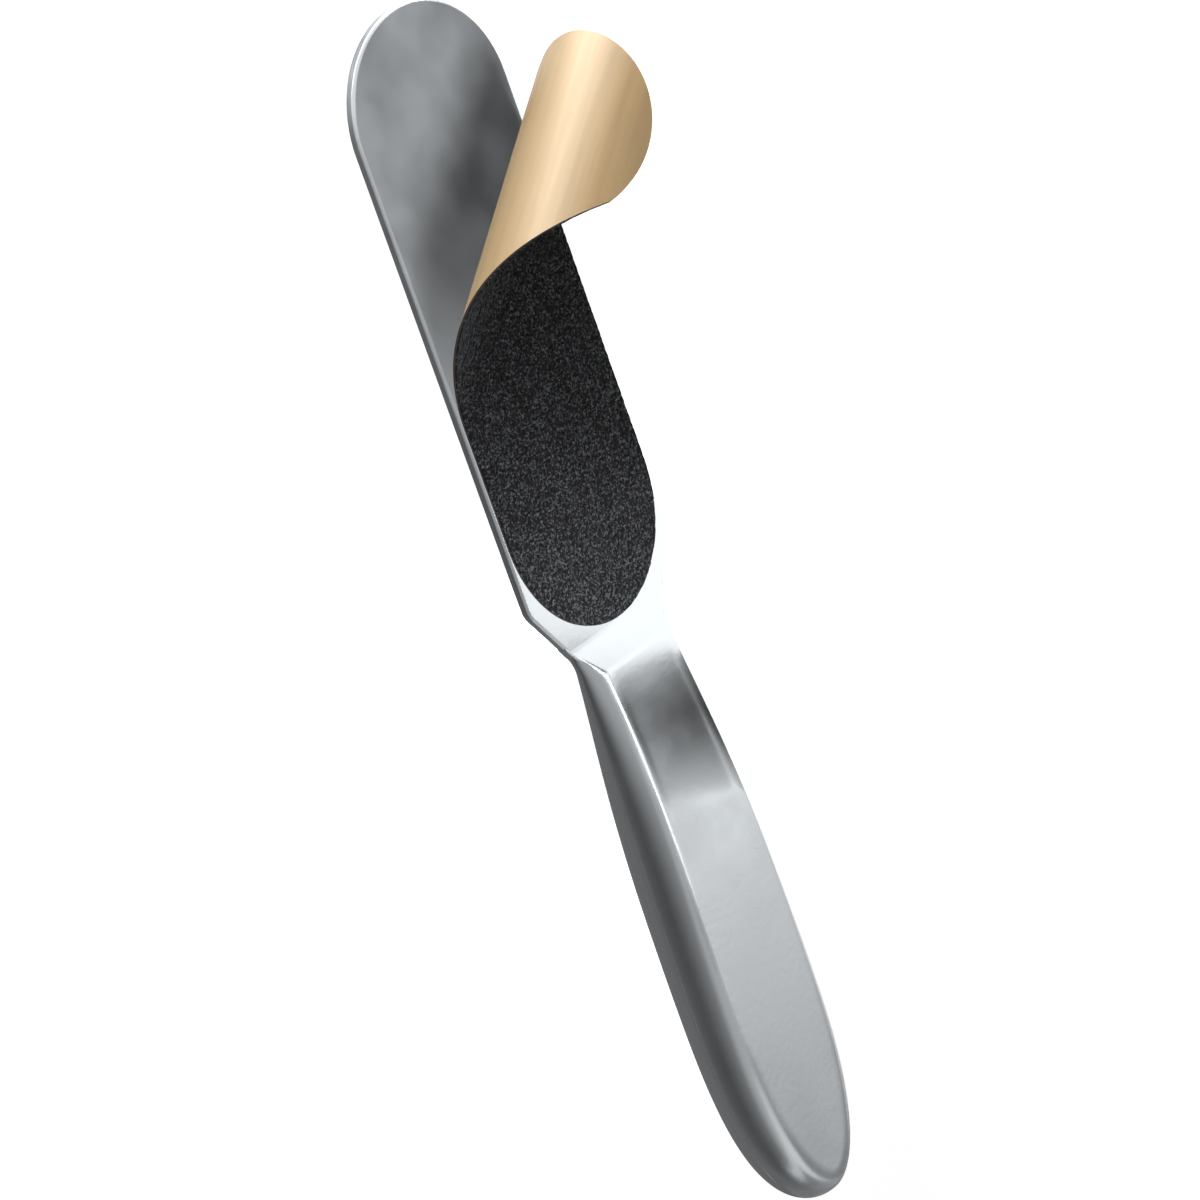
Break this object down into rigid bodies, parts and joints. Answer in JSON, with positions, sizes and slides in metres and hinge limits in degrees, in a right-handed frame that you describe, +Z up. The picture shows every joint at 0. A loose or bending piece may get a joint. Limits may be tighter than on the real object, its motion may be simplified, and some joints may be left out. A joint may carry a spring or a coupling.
{
  "type": "foot file",
  "caption": "Steel foot file: flat round-tipped paddle, hollow flat-faced handle, and a stick-on abrasive sheet that is half peeled off and curled up from the tip.",
  "frame": {"origin": "on the flat underside of the handle, below its widest place, on the middle line", "axes": "+X along the file from the handle towards the tip of the paddle, +Y to the side of the paddle where the sheet is peeled down furthest, +Z up, out of the paddle face that carries the sheet"},
  "size_m": [0.224, 0.04, 0.0403],
  "materials": {
    "blade_steel": "fine satin, bright ground edges",
    "handle_steel": "satin polish",
    "adhesive": "thin clear tacky film over tan paper",
    "backing_paper": "matte tan kraft paper",
    "grit": "rough black grain in dark resin"
  },
  "bodies": {
    "file": {"paddle_blade": "blade_steel", "handle_upper_shell": "handle_steel", "handle_lower_shell": "handle_steel", "adhesive_laid": "adhesive", "paper_laid": "backing_paper", "grit_laid": "grit"},
    "flap": {"adhesive_flap": "adhesive", "paper_flap": "backing_paper", "grit_flap": "grit"}
  },
  "joints": [
    {"name": "flap_peel", "type": "hinge", "parent": "file", "child": "flap", "pos_m": [0.13182, 0.00208, 0.00852], "axis": [0.6361, -0.7716, 0], "range_deg": [0, 45], "stiffness_Nm_per_rad": 0.02}
  ]
}
